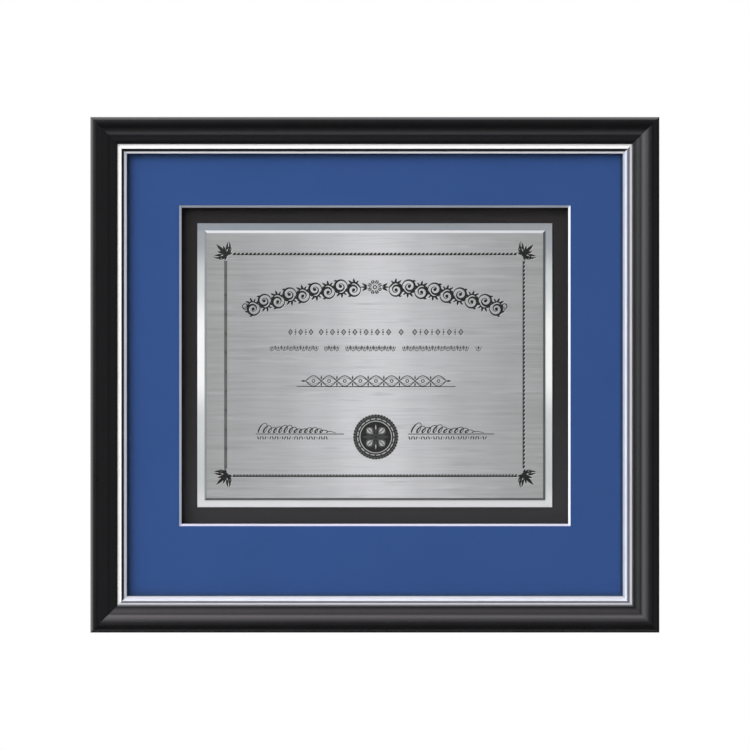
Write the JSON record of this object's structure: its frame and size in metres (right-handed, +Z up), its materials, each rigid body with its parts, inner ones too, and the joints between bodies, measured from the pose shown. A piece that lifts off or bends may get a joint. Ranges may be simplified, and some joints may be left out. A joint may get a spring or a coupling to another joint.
{
  "type": "certificate frame",
  "caption": "Wall-hung certificate frame: mitred black moulding with a beaded silver slip, glass, a blue window mat and an engraved brushed plate, held by turn buttons, hung by D-rings.",
  "frame": {"origin": "centre of the moulding's outline, in the plane of the wall that the rear bumpers touch", "axes": "+X to the right as seen from the front, +Y into the wall, so -Y faces the viewer, +Z up"},
  "size_m": [0.4064, 0.027, 0.3682],
  "materials": {
    "moulding_black": "satin",
    "slip_silver": "polished",
    "glass": "polished",
    "mat_blue": "matte",
    "board_black": "matte",
    "plate_bright": "polished",
    "plate_brushed": "satin",
    "tape": "matte",
    "foam_board": "matte",
    "hardboard": "matte",
    "zinc_plate": "satin",
    "ring_nickel": "polished",
    "rubber": "matte",
    "nail_steel": "satin"
  },
  "bodies": {
    "frame": {"backer_plate_tape": "tape", "backing_board": "hardboard", "black_mount_board": "board_black", "blue_mat": "mat_blue", "corner_v_nails": "nail_steel", "engraved_plate": "plate_brushed", "engraved_plate_adhesive": "tape", "glazing": "glass", "hanger_screws": "zinc_plate", "mat_spacer_bottom": "foam_board", "mat_spacer_left": "foam_board", "mat_spacer_right": "foam_board", "mat_spacer_top": "foam_board", "plate_backer": "plate_bright", "rail_bottom": "moulding_black", "rail_left": "moulding_black", "rail_right": "moulding_black", "rail_top": "moulding_black", "slip_bottom": "slip_silver", "slip_left": "slip_silver", "slip_right": "slip_silver", "slip_top": "slip_silver", "strap_hanger_left": "zinc_plate", "strap_hanger_right": "zinc_plate", "turn_button_screws": "zinc_plate", "wall_bumper_left": "rubber", "wall_bumper_right": "rubber"},
    "turn_button_top_left": {"turn_button_top_left": "zinc_plate"},
    "turn_button_top_right": {"turn_button_top_right": "zinc_plate"},
    "turn_button_bottom_left": {"turn_button_bottom_left": "zinc_plate"},
    "turn_button_bottom_right": {"turn_button_bottom_right": "zinc_plate"},
    "turn_button_left": {"turn_button_left": "zinc_plate"},
    "turn_button_right": {"turn_button_right": "zinc_plate"},
    "d_ring_left": {"d_ring_left": "ring_nickel"},
    "d_ring_right": {"d_ring_right": "ring_nickel"}
  },
  "joints": [
    {"name": "turn_button_top_left_pivot", "type": "hinge", "parent": "frame", "child": "turn_button_top_left", "pos_m": [-0.105, -0.0039, 0.17715], "axis": [0, 1, 0], "continuous": true},
    {"name": "turn_button_top_right_pivot", "type": "hinge", "parent": "frame", "child": "turn_button_top_right", "pos_m": [0.105, -0.0039, 0.17715], "axis": [0, 1, 0], "continuous": true},
    {"name": "turn_button_bottom_left_pivot", "type": "hinge", "parent": "frame", "child": "turn_button_bottom_left", "pos_m": [-0.105, -0.0039, -0.17715], "axis": [0, 1, 0], "continuous": true},
    {"name": "turn_button_bottom_right_pivot", "type": "hinge", "parent": "frame", "child": "turn_button_bottom_right", "pos_m": [0.105, -0.0039, -0.17715], "axis": [0, 1, 0], "continuous": true},
    {"name": "turn_button_left_pivot", "type": "hinge", "parent": "frame", "child": "turn_button_left", "pos_m": [-0.1962, -0.0039, -0.02], "axis": [0, 1, 0], "continuous": true},
    {"name": "turn_button_right_pivot", "type": "hinge", "parent": "frame", "child": "turn_button_right", "pos_m": [0.1962, -0.0039, -0.02], "axis": [0, 1, 0], "continuous": true},
    {"name": "d_ring_left_hinge", "type": "hinge", "parent": "frame", "child": "d_ring_left", "pos_m": [-0.1956, -0.0025, 0.084], "axis": [1, 0, 0], "range_deg": [0, 180]},
    {"name": "d_ring_right_hinge", "type": "hinge", "parent": "frame", "child": "d_ring_right", "pos_m": [0.1956, -0.0025, 0.084], "axis": [1, 0, 0], "range_deg": [0, 180]}
  ]
}
